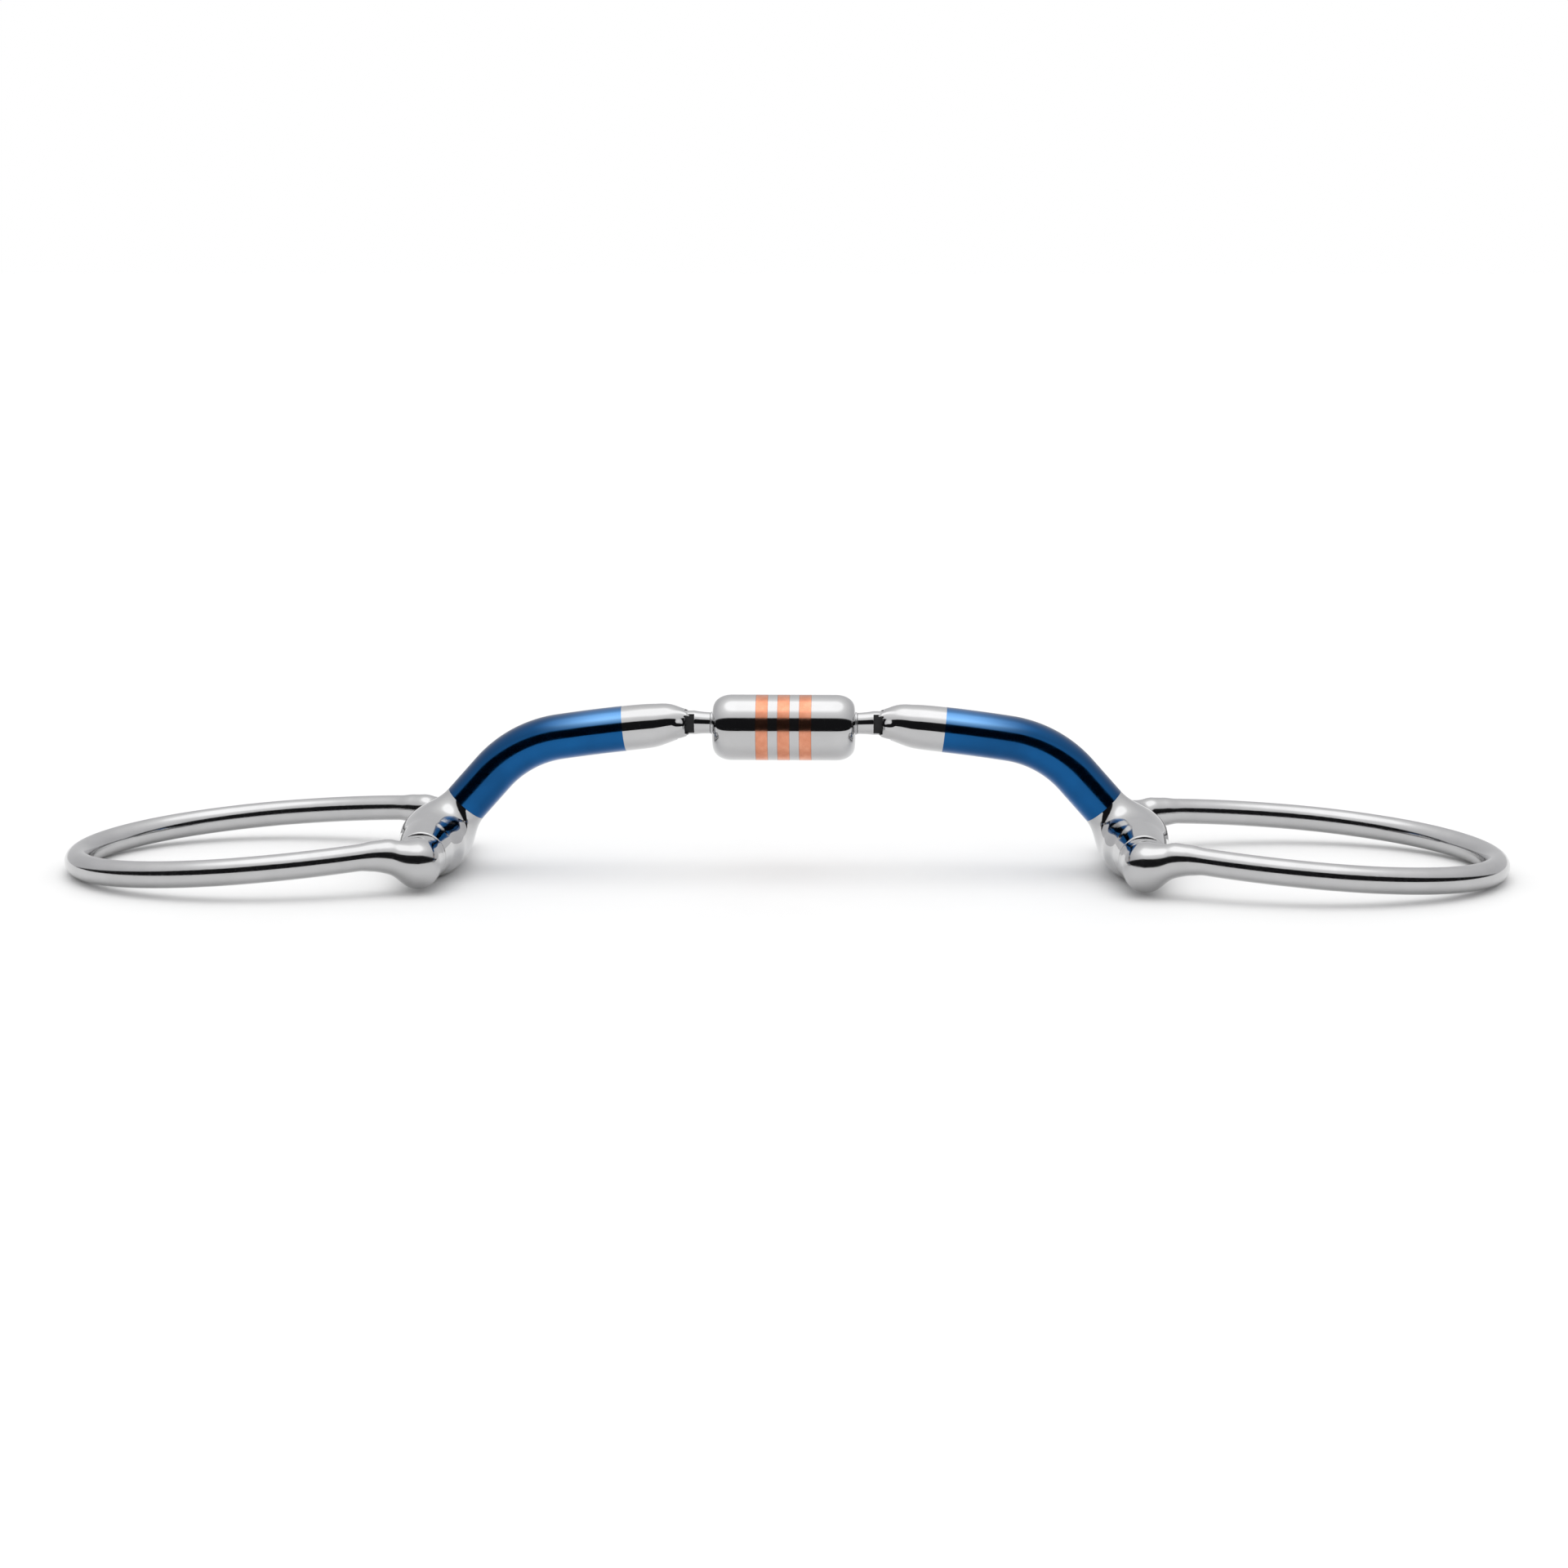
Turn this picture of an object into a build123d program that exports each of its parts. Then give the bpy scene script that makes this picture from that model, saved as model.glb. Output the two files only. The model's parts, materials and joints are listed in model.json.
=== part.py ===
"""Eggbutt snaffle bit with a lock-up double joint and a copper-banded roller.

The bit stands on a table: X runs across the mouth, Z is up, and the origin lies on the table under
the roller.  Everything right of centre (+X) is modelled and then mirrored to make the left side.
"""
from build123d import *
from math import cos, radians, sin
import os

# ------------------------------------------------------------------ driving dimensions (mm, degrees)
# roller and the spindle that it hangs on, loosely
LINK_Z = 30.8               # height of the spindle and of the fold joints
ROLLER_SAG = 0.9            # the roller's axis lies this far below the spindle's
ROLLER_LENGTH = 29.4
ROLLER_RADIUS = 6.78
ROLLER_SHOULDER = 3.4       # rounding of the two end edges
BAND_WIDTH = 2.5
BAND_PITCH = 4.46
BAND_DEPTH = 1.2
SPINDLE_RADIUS = 2.3
RUNNING_GAP = 0.06          # smallest clearance of every running fit
END_PLAY = 0.35             # the spindle is this much longer than the roller at each end

# link eye and the fold joint between link and arm
FOLD_X = 21.5               # fold axis, parallel to Y
EYE_RADIUS = 2.45
EYE_THICKNESS = 3.0
EYE_BAR_RADIUS = 1.25       # cross bar of the arm, held in the link's eye
EYE_BAR_HALF_LENGTH = 2.6   # it is set this far into the two cheeks of the fork
EYE_SLOT_LENGTH = 1.4       # between the centres of the slot's round ends
NECK_WAIST = 0.93           # of the spindle's radius, half way along the neck
NECK_MARGIN = 0.4           # from the slot back to the end of the round neck
NECK_OVERLAP = 0.6          # the flat of the eye runs this far back into the neck
LUG_LENGTH = 1.4            # stop lug on top of the eye
LUG_HEIGHT = 0.5
PEG_RADIUS = 1.4
PEG_LENGTH = 7.5
FORK_GAP = 0.2              # all round the eye inside the fork
FOLD_LIMIT = 45.0           # arm folds down until the neck meets the fork's lower lip
STOP_X = 1.0                # stop face, this far inside the fold axis
FORK_FALL = 0.06            # the fork's middle drops by this slope towards the arm
FORK_SECTIONS = (           # distance from the fold axis, half width along Y, half height
    (-1.5, 3.2, 2.2),
    (-0.5, 4.0, 3.0),
    (0.7, 4.3, 3.5),
    (2.3, 4.5, 3.85),
    (3.9, 4.7, 4.3),
)

# arms
ARM_THICKNESS = 9.36
ARM_WIDTH = 10.0
ARM_SLOPE = 48.3            # lower run, from the hinge
STUB_LENGTH = 10.0          # hinge axis to the outer seam
LOWER_LENGTH = 8.6          # straight blue run above the seam
BEND_RADIUS = 23.3
BEND_ANGLE = 39.6
CREST_RADIUS = 319.0
CREST_ANGLE = 2.42          # from the bend to the inner seam
TAPER_ANGLE = 1.1           # from the inner seam to the start of the taper
STUD_RADIUS = 2.0
STUD_LENGTH = 10.0

# hinge barrel (butt), ring and pin
HINGE_X = 72.6
HINGE_Z = 6.4
BUTT_HALF_LENGTH = 21.1
BUTT_RADIUS = 6.4
BUTT_END_RADIUS = 5.0
STUB_SECTIONS = (           # distance from the hinge axis, half width along Y, half thickness
    (2.5, 9.0, 5.6),
    (6.5, 6.2, 5.0),
    (STUB_LENGTH, ARM_WIDTH / 2, ARM_THICKNESS / 2),
)
PIN_RADIUS = 2.0
PIN_HALF_LENGTH = 26.5
BELL_FACE_Y = 21.3
BELL_RADIUS = 5.07
BELL_RIM = 1.0              # straight rim behind the bell's face
BELL_SIDE_RADIUS = 4.6      # abreast of the dome's centre
BELL_BACK = (3.0, 28.2)     # radius and place of the skirt's far edge, inside the dome
DOME_RADIUS = 4.5
DOME_Y = 25.6
DOME_DROP = 1.2             # dome centre below the hinge axis

WIRE_RADIUS = 2.7
RING_HEIGHT = 8.6           # ring plane above the table, over the hinge
LIMB_START = (10.5, 28.9)   # out from the hinge and across, where the wire swells into the bell
LIMB_ANGLE = 24.0           # the limbs spread by this much there
LEAD_LENGTH = 6.0
LIMB_RADIUS = 62.3
SHOULDER_RADIUS = 44.0
SHOULDER_ANGLE = 28.3
FLARE_START_RADIUS = 2.6
FLARE_MIDDLE = (0.4, 3.15)  # part of the way to the dome, and the radius there

# ------------------------------------------------------------------ places worked out from them
ROLLER_Z = LINK_Z - ROLLER_SAG
ROLLER_BORE = SPINDLE_RADIUS + ROLLER_SAG + RUNNING_GAP
FOLD_POINT = (FOLD_X, LINK_Z)
HINGE_POINT = (HINGE_X, HINGE_Z)
HINGE_AXIS = Axis((HINGE_X, 0, HINGE_Z), (0, 1, 0))
ROLLER_AXIS = Axis((0, 0, ROLLER_Z), (1, 0, 0))
LINK_AXIS = Axis((0, 0, LINK_Z), (1, 0, 0))
SPINDLE_HALF = ROLLER_LENGTH / 2 + END_PLAY
LIMB_SPREAD = LIMB_START[1] + LIMB_RADIUS * (1 - cos(radians(LIMB_ANGLE)))
TIP_RADIUS = (LIMB_SPREAD - SHOULDER_RADIUS) / cos(radians(SHOULDER_ANGLE)) + SHOULDER_RADIUS
TIP_CENTRE = (LIMB_START[0] + LIMB_RADIUS * sin(radians(LIMB_ANGLE))
              + (SHOULDER_RADIUS - TIP_RADIUS) * sin(radians(SHOULDER_ANGLE)))
RING_TIP = TIP_CENTRE + TIP_RADIUS                           # hinge to the wire's centre at the tip
RING_TILT_SINE = (RING_HEIGHT - WIRE_RADIUS) / RING_TIP      # the tip touches the table
RING_TILT_COSINE = (1 - RING_TILT_SINE**2) ** 0.5
RING_PLANE = Plane(
    origin=(HINGE_X, 0, RING_HEIGHT),
    x_dir=(RING_TILT_COSINE, 0, -RING_TILT_SINE),
    z_dir=(RING_TILT_SINE, 0, RING_TILT_COSINE),
)

# centre line of the right arm, from the hinge up to the start of the taper
with BuildLine(Plane.XZ) as arm_route:
    stub = PolarLine(HINGE_POINT, STUB_LENGTH, 180 - ARM_SLOPE)
    lower = PolarLine(stub @ 1, LOWER_LENGTH, 180 - ARM_SLOPE)
    bend = JernArc(lower @ 1, lower % 1, BEND_RADIUS, BEND_ANGLE)
    crest = JernArc(bend @ 1, bend % 1, CREST_RADIUS, CREST_ANGLE)
    taper_start = JernArc(crest @ 1, crest % 1, CREST_RADIUS, TAPER_ANGLE)


def across(edge, place):
    """Plane square to an edge at its start (0) or end (1), with its x axis along Y."""
    return Plane(origin=edge @ place, x_dir=(0, 1, 0), z_dir=edge % place)


OUTER_SEAM = across(stub, 1)
INNER_SEAM = across(crest, 1)


def finished(builder, label):
    builder.part.label = label
    return builder.part


def mirrored(right_part, label):
    """The left-hand copy of a right-hand piece."""
    with BuildPart() as left:
        mirror(right_part, about=Plane.YZ)
    return finished(left, label)


# ------------------------------------------------------------------ centre link
def roller_barrel():
    with BuildPart() as barrel:
        with BuildSketch(Plane.XZ) as section:
            with Locations((0, ROLLER_Z + ROLLER_RADIUS / 2)):
                Rectangle(ROLLER_LENGTH, ROLLER_RADIUS)
            fillet(section.vertices().group_by(Axis.Y)[-1], ROLLER_SHOULDER)
            with Locations((0, ROLLER_Z)):
                Rectangle(ROLLER_LENGTH, 2 * ROLLER_BORE, mode=Mode.SUBTRACT)
            with Locations((0, ROLLER_Z + ROLLER_RADIUS)):
                with GridLocations(BAND_PITCH, 0, 3, 1):
                    Rectangle(BAND_WIDTH, 2 * BAND_DEPTH, mode=Mode.SUBTRACT)
        revolve(axis=ROLLER_AXIS)
    return finished(barrel, "roller_barrel")


def copper_band(index, label):
    """One inlaid ring, flush with the barrel; index runs from -1 to 1."""
    with BuildPart() as band:
        with BuildSketch(Plane.YZ.offset(index * BAND_PITCH - BAND_WIDTH / 2)):
            with Locations((0, ROLLER_Z)):
                Circle(ROLLER_RADIUS)
                Circle(ROLLER_RADIUS - BAND_DEPTH, mode=Mode.SUBTRACT)
        extrude(amount=BAND_WIDTH)
    return finished(band, label)


def roller_spindle():
    """Rod through the roller, with a blind socket in each end for the eyes' pegs."""
    with BuildPart() as spindle:
        with BuildSketch(Plane.YZ):
            with Locations((0, LINK_Z)):
                Circle(SPINDLE_RADIUS)
        extrude(amount=SPINDLE_HALF, both=True)
        for side in (-1, 1):
            with BuildSketch(Plane.YZ.offset(side * SPINDLE_HALF)):
                with Locations((0, LINK_Z)):
                    Circle(PEG_RADIUS)
            extrude(amount=-side * PEG_LENGTH, mode=Mode.SUBTRACT)
    return finished(spindle, "roller_spindle")


def link_eye():
    """Peg, round neck and flat upright eye with a slot for the arm's cross bar."""
    slot_radius = EYE_BAR_RADIUS + RUNNING_GAP
    neck_end = FOLD_X - EYE_SLOT_LENGTH - slot_radius - NECK_MARGIN
    with BuildPart() as eye:
        with BuildSketch(Plane.XZ):
            with BuildLine():
                Polyline((SPINDLE_HALF - PEG_LENGTH, LINK_Z),
                         (SPINDLE_HALF - PEG_LENGTH, LINK_Z + PEG_RADIUS),
                         (SPINDLE_HALF, LINK_Z + PEG_RADIUS),
                         (SPINDLE_HALF, LINK_Z + SPINDLE_RADIUS))
                ThreePointArc((SPINDLE_HALF, LINK_Z + SPINDLE_RADIUS),
                              ((SPINDLE_HALF + neck_end) / 2, LINK_Z + NECK_WAIST * SPINDLE_RADIUS),
                              (neck_end, LINK_Z + SPINDLE_RADIUS))
                Polyline((neck_end, LINK_Z + SPINDLE_RADIUS), (neck_end, LINK_Z),
                         (SPINDLE_HALF - PEG_LENGTH, LINK_Z))
            make_face()
        revolve(axis=LINK_AXIS)
        with BuildSketch(Plane.XZ):
            with Locations(FOLD_POINT):
                Circle(EYE_RADIUS)
                Rectangle(FOLD_X - neck_end + NECK_OVERLAP, 2 * SPINDLE_RADIUS,
                          align=(Align.MAX, Align.CENTER))
            # the stop lug stands just proud of the eye and meets the roof of the fork
            with Locations((FOLD_X - STOP_X - FORK_GAP, LINK_Z + SPINDLE_RADIUS)):
                Rectangle(LUG_LENGTH, 2 * LUG_HEIGHT, align=(Align.MAX, Align.CENTER))
        extrude(amount=EYE_THICKNESS / 2, both=True)
        with BuildSketch(Plane.XZ):
            with Locations((FOLD_X - EYE_SLOT_LENGTH / 2, LINK_Z)):
                SlotCenterToCenter(EYE_SLOT_LENGTH, 2 * slot_radius)
        extrude(amount=SPINDLE_RADIUS, both=True, mode=Mode.SUBTRACT)
    return finished(eye, "right_link_eye")


# ------------------------------------------------------------------ arm
def arm_section(plane):
    with BuildSketch(plane) as section:
        Ellipse(ARM_WIDTH / 2, ARM_THICKNESS / 2)
    return section.sketch


def stud(seam, label):
    """Round stud across a seam, half of it in each piece."""
    with BuildPart() as pin:
        with BuildSketch(seam):
            Circle(STUD_RADIUS)
        extrude(amount=STUD_LENGTH / 2, both=True)
    return finished(pin, label)


def cannon():
    """Blue run between the two seams."""
    with BuildPart() as rod:
        with BuildLine():
            add([lower, bend, crest])
        add(arm_section(OUTER_SEAM))
        sweep()
        for seam in (OUTER_SEAM, INNER_SEAM):
            with BuildSketch(seam):
                Circle(STUD_RADIUS)
            extrude(amount=STUD_LENGTH / 2, both=True, mode=Mode.SUBTRACT)
    return finished(rod, "right_cannon")


def eye_end():
    """Steel inner end: flattens into a fork round the link's eye, closed by a cross bar."""
    nose = FORK_SECTIONS[0][0]
    with BuildPart() as fork:
        for reach, half_width, half_height in FORK_SECTIONS:
            with BuildSketch(Plane.YZ.offset(FOLD_X + reach)):
                with Locations((0, LINK_Z - FORK_FALL * (reach - nose))):
                    Ellipse(half_width, half_height)
        with BuildSketch(Plane(origin=taper_start @ 1, x_dir=(0, 1, 0), z_dir=-(taper_start % 1))):
            Ellipse(ARM_WIDTH / 2, ARM_THICKNESS / 2)
        loft()
        with BuildLine():
            add(taper_start)
        add(arm_section(INNER_SEAM))
        sweep()
        with BuildSketch(INNER_SEAM):
            Circle(STUD_RADIUS)
        extrude(amount=STUD_LENGTH / 2, mode=Mode.SUBTRACT)
        clear = EYE_RADIUS + FORK_GAP
        lip = (FOLD_X + clear * sin(radians(FOLD_LIMIT)), LINK_Z - clear * cos(radians(FOLD_LIMIT)))
        with BuildSketch(Plane.XZ):
            with Locations(FOLD_POINT):
                Circle(clear)
            with BuildLine():
                Polyline((FOLD_X - STOP_X, LINK_Z),
                         (FOLD_X - STOP_X, LINK_Z + 2 * clear),
                         (FOLD_X - 2 * clear, LINK_Z + 2 * clear),
                         (FOLD_X - 2 * clear, lip[1] - 2 * clear),
                         (lip[0] - 2 * clear, lip[1] - 2 * clear),
                         lip,
                         FOLD_POINT,
                         (FOLD_X - STOP_X, LINK_Z))
            make_face()
        extrude(amount=EYE_THICKNESS / 2 + FORK_GAP, both=True, mode=Mode.SUBTRACT)
        with BuildSketch(Plane.XZ):
            with Locations(FOLD_POINT):
                Circle(EYE_BAR_RADIUS)
        extrude(amount=EYE_BAR_HALF_LENGTH, both=True)
    return finished(fork, "right_eye_end")


def butt():
    """Egg-shaped hinge barrel with the stub of the arm growing out of it."""
    with BuildPart() as barrel:
        with BuildSketch(Plane.XY.offset(HINGE_Z)):
            with BuildLine():
                ThreePointArc((HINGE_X + BUTT_END_RADIUS, -BUTT_HALF_LENGTH),
                              (HINGE_X + BUTT_RADIUS, 0),
                              (HINGE_X + BUTT_END_RADIUS, BUTT_HALF_LENGTH))
                Polyline((HINGE_X + BUTT_END_RADIUS, BUTT_HALF_LENGTH), (HINGE_X, BUTT_HALF_LENGTH),
                         (HINGE_X, -BUTT_HALF_LENGTH), (HINGE_X + BUTT_END_RADIUS, -BUTT_HALF_LENGTH))
            make_face()
        revolve(axis=HINGE_AXIS)
        for reach, half_width, half_height in STUB_SECTIONS:
            with BuildSketch(across(stub, reach / STUB_LENGTH)):
                Ellipse(half_width, half_height)
        loft()
        with BuildSketch(OUTER_SEAM):
            Circle(STUD_RADIUS)
        extrude(amount=-STUD_LENGTH / 2, mode=Mode.SUBTRACT)
        with BuildSketch(Plane.XZ):
            with Locations(HINGE_POINT):
                Circle(PIN_RADIUS + RUNNING_GAP)
        extrude(amount=BUTT_HALF_LENGTH, both=True, mode=Mode.SUBTRACT)
    return finished(barrel, "right_butt")


# ------------------------------------------------------------------ cheek ring
def cheek_ring():
    """One closed loop of round wire whose two ends swell into bells facing the butt."""
    dome = Vector(HINGE_X, DOME_Y, HINGE_Z - DOME_DROP)
    with BuildPart() as bell:
        with Locations(dome):
            Sphere(DOME_RADIUS)
        # the flare: a trumpet turned about the line from the wire down to the dome's centre
        flare_start = RING_PLANE.from_local_coords((*LIMB_START, 0))
        flare_line = dome - flare_start
        flare_length = flare_line.length
        flare_side = flare_line.cross(Vector(0, 0, 1))
        with BuildSketch(Plane(origin=flare_start, x_dir=flare_line, z_dir=flare_side)):
            with BuildLine():
                Line((0, 0), (0, FLARE_START_RADIUS))
                Spline((0, FLARE_START_RADIUS),
                       (FLARE_MIDDLE[0] * flare_length, FLARE_MIDDLE[1]),
                       (flare_length, DOME_RADIUS),
                       tangents=((1, 0), (1, 0)))
                Polyline((flare_length, DOME_RADIUS), (flare_length, 0), (0, 0))
            make_face()
        revolve(axis=Axis(flare_start, flare_line))
        # the bell's skirt, turned about the hinge axis
        rim = (HINGE_X + BELL_RADIUS, BELL_FACE_Y + BELL_RIM)
        side = (HINGE_X + BELL_SIDE_RADIUS, DOME_Y)
        back = (HINGE_X + BELL_BACK[0], BELL_BACK[1])
        with BuildSketch(Plane.XY.offset(HINGE_Z)):
            with BuildLine():
                Polyline((HINGE_X, BELL_FACE_Y), (HINGE_X + BELL_RADIUS, BELL_FACE_Y), rim)
                ThreePointArc(rim, side, back)
                Polyline(back, (HINGE_X, BELL_BACK[1]), (HINGE_X, BELL_FACE_Y))
            make_face()
        revolve(axis=HINGE_AXIS)
    with BuildPart() as ring:
        # the loop: a straight lead out of each bell, and arcs that close round the tip
        lead_step = (LEAD_LENGTH * cos(radians(LIMB_ANGLE)), LEAD_LENGTH * sin(radians(LIMB_ANGLE)))
        with BuildLine(RING_PLANE):
            lead = Line((LIMB_START[0] - lead_step[0], LIMB_START[1] - lead_step[1]), LIMB_START)
            limb = JernArc(lead @ 1, lead_step, LIMB_RADIUS, -LIMB_ANGLE)
            shoulder = JernArc(limb @ 1, limb % 1, SHOULDER_RADIUS, -SHOULDER_ANGLE)
            tip = JernArc(shoulder @ 1, shoulder % 1, TIP_RADIUS, 2 * (SHOULDER_ANGLE - 90))
            far_shoulder = JernArc(tip @ 1, tip % 1, SHOULDER_RADIUS, -SHOULDER_ANGLE)
            far_limb = JernArc(far_shoulder @ 1, far_shoulder % 1, LIMB_RADIUS, -LIMB_ANGLE)
            far_lead = Line(far_limb @ 1, far_limb @ 1 + LEAD_LENGTH * (far_limb % 1))
        with BuildSketch(across(lead, 0)):
            Circle(WIRE_RADIUS)
        sweep()
        with Locations(lead @ 0, far_lead @ 1):
            Sphere(WIRE_RADIUS)
        add(bell.part)
        mirror(bell.part, about=Plane.XZ)
        with BuildSketch(Plane.XZ):
            with Locations(HINGE_POINT):
                Circle(PIN_RADIUS)
        extrude(amount=PIN_HALF_LENGTH, both=True, mode=Mode.SUBTRACT)
    return finished(ring, "right_cheek_ring")


def hinge_pin():
    with BuildPart() as pin:
        with BuildSketch(Plane.XZ):
            with Locations(HINGE_POINT):
                Circle(PIN_RADIUS)
        extrude(amount=PIN_HALF_LENGTH, both=True)
    return finished(pin, "right_hinge_pin")


# ------------------------------------------------------------------ all the pieces
pieces = [
    roller_barrel(),
    copper_band(-1, "copper_band_left"),
    copper_band(0, "copper_band_centre"),
    copper_band(1, "copper_band_right"),
    roller_spindle(),
]
right_pieces = [
    link_eye(),
    eye_end(),
    stud(INNER_SEAM, "right_inner_stud"),
    cannon(),
    stud(OUTER_SEAM, "right_outer_stud"),
    butt(),
    hinge_pin(),
    cheek_ring(),
]
for piece in right_pieces:
    pieces.append(piece)
    pieces.append(mirrored(piece, piece.label.replace("right", "left")))

os.makedirs("parts", exist_ok=True)
for piece in pieces:
    export_step(piece, f"parts/{piece.label}.step")
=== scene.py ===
"""Looks of the eggbutt snaffle bit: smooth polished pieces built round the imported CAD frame."""
import json
from math import cos, pi, radians, sin

import bmesh
import bpy
import numpy as np
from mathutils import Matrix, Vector


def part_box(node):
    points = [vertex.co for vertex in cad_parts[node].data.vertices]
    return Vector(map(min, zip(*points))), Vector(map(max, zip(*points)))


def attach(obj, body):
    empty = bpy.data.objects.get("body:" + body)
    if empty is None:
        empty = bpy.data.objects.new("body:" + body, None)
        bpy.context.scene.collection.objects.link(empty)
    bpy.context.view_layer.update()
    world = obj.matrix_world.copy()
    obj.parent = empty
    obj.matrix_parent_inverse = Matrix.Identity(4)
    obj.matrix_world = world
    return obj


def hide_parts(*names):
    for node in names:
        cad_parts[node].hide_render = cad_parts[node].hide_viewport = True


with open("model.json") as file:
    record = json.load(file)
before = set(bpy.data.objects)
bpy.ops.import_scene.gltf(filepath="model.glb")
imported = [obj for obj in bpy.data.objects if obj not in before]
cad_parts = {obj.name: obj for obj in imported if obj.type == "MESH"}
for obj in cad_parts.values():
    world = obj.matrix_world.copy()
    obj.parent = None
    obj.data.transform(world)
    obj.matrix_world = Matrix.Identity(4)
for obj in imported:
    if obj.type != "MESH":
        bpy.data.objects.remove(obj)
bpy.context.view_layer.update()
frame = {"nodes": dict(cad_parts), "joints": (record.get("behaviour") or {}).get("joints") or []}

MM = 0.001

# ------------------------------------------------------------------ places read from the frame (mm)
JOINT = {j["name"]: [c / MM for c in j["pos_m"]] for j in frame["joints"]}
HINGE_X, _, HINGE_Z = JOINT["right_ring_swing"]
FOLD_X, _, LINK_Z = JOINT["right_arm_fold"]
ROLLER_Z = JOINT["roller_spin"][2]


def node_box(node):
    """Lowest and highest corner of a CAD node in millimetres."""
    low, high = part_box(node)
    return np.array(low) / MM, np.array(high) / MM


def node_centre(node):
    low, high = node_box(node)
    return (low + high) / 2


ROLLER_LOW, ROLLER_HIGH = node_box("roller_barrel")
SPINDLE_LOW, SPINDLE_HIGH = node_box("roller_spindle")
BUTT_HALF = node_box("right_butt")[1][1]
PIN_HALF = node_box("right_hinge_pin")[1][1]
RING_LOW, RING_HIGH = node_box("right_cheek_ring")
OUTER_SEAM = node_centre("right_outer_stud")
INNER_SEAM = node_centre("right_inner_stud")

# ------------------------------------------------------------------ sizes (mm, degrees)
GAP = 0.06                  # running clearance
# the roller on its spindle
SPINDLE = (SPINDLE_HIGH[2] - SPINDLE_LOW[2]) / 2
ROLLER = (ROLLER_HIGH[2] - ROLLER_LOW[2]) / 2
ROLLER_HALF = ROLLER_HIGH[0]
SHOULDER = 4.2              # length of the rounded shoulder
BAND_DEPTH = 1.2
BANDS = ("copper_band_left", "copper_band_centre", "copper_band_right")
# the fold joint: an eye with a cross bar through it, between the cheeks of the arm's end
EYE_R, EYE_HALF_Y = 2.45, 1.5
FLANK_LENGTH = 3.05         # flat flanks of the eye, measured from the bar
BAR_R = 1.25
FORK_GAP = 0.2
# the arm: an oval bar, straight from the hinge, then a tight bend and a long shallow crest
ARM_HALF_Y = 5.0
ARM_HALF_T = 4.68
ARM_SLOPE = 48.3
STRAIGHT = 18.6             # hinge to the start of the bend
BEND_R, BEND_DEG = 23.3, 39.6
CREST_R = 319.0
STUD = 2.0                  # radius of the studs
STUD_DEPTH = 5.0
# the hinge barrel and the ring's bells, in radii, distances from the middle and drops below the pin
PIN = 2.0
BUTT_R, BUTT_END_R = 6.4, 5.0
BELL_FACE, BELL_R = 21.3, 5.07
DOME_R, DOME_Y, DOME_DROP = 4.4, 25.6, 1.5
BROW_DROP = 0.1
CROWN_Z = 11.2              # height of the bell's flattened top above the table, at its face
# the ring's outline: straight out of the bell, then a limb arc, a side arc and a tip arc
WIRE = 2.7                  # radius of the ring's wire
RING_PLANE_Z = 8.6          # height of the ring's plane above the table, at the hinge
LIMB_START = (10.5, 28.9)
LIMB_DEG, LIMB_R = 24.0, 62.3
SIDE_DEG, SIDE_R = 28.3, 44.0


# ------------------------------------------------------------------ distance fields (mm)
def smin(a, b, k):
    """Smooth union: the two surfaces melt together in a fillet of about k millimetres."""
    h = np.clip(0.5 + 0.5 * (b - a) / k, 0, 1)
    return b + (a - b) * h - k * h * (1 - h)


def smax(a, b, k):
    """Smooth intersection: the edge between the two is rounded over about k millimetres."""
    return -smin(-a, -b, k)


def rod(p, a, b, ra, rb):
    """Round rod from a to b whose radius runs from ra to rb."""
    a, b = np.asarray(a, float), np.asarray(b, float)
    axis = b - a
    t = np.clip((p - a) @ axis / (axis @ axis), 0, 1)
    return np.linalg.norm(p - a - t[:, None] * axis, axis=1) - (ra + t * (rb - ra))


def along_y(p, x, z, radius):
    """Endless cylinder parallel to Y."""
    return np.hypot(p[:, 0] - x, p[:, 2] - z) - radius


def between(value, low, high):
    """Distance outside a slab; negative within it."""
    return np.abs(value - (low + high) / 2) - (high - low) / 2


def arc_distance(u, v, centre, radius, start, end):
    """Distance in a plane to an arc; angles run clockwise from +v."""
    angle = np.clip(np.arctan2(u - centre[0], v - centre[1]), start, end)
    return np.hypot(u - centre[0] - radius * np.sin(angle), v - centre[1] - radius * np.cos(angle))


# ------------------------------------------------------------------ meshes from distance fields
def surface_net(values):
    """Quads round the zero surface of a grid of values: one vertex in each cell it crosses."""
    cells = tuple(n - 1 for n in values.shape)
    total, count = np.zeros((*cells, 3)), np.zeros(cells)
    quads = []
    for axis in range(3):
        low = np.take(values, range(values.shape[axis] - 1), axis)
        high = np.take(values, range(1, values.shape[axis]), axis)
        at = np.argwhere((low < 0) != (high < 0))
        a, b = low[tuple(at.T)], high[tuple(at.T)]
        point = at.astype(float)
        point[:, axis] += a / (a - b)
        side, other = (axis + 1) % 3, (axis + 2) % 3
        corners = []
        for s, o in ((0, 0), (1, 0), (1, 1), (0, 1)):
            cell = at.copy()
            cell[:, side] -= s
            cell[:, other] -= o
            np.add.at(total, tuple(cell.T), point)
            np.add.at(count, tuple(cell.T), 1)
            corners.append(np.ravel_multi_index(tuple(cell.T), cells))
        quad = np.stack(corners, 1)
        quad[a >= 0] = quad[a >= 0][:, ::-1]
        quads.append(quad)
    used = np.flatnonzero(count.ravel())
    number = np.full(count.size, -1)
    number[used] = np.arange(len(used))
    points = total.reshape(-1, 3)[used] / count.ravel()[used, None]
    return points, number[np.concatenate(quads)]


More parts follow.
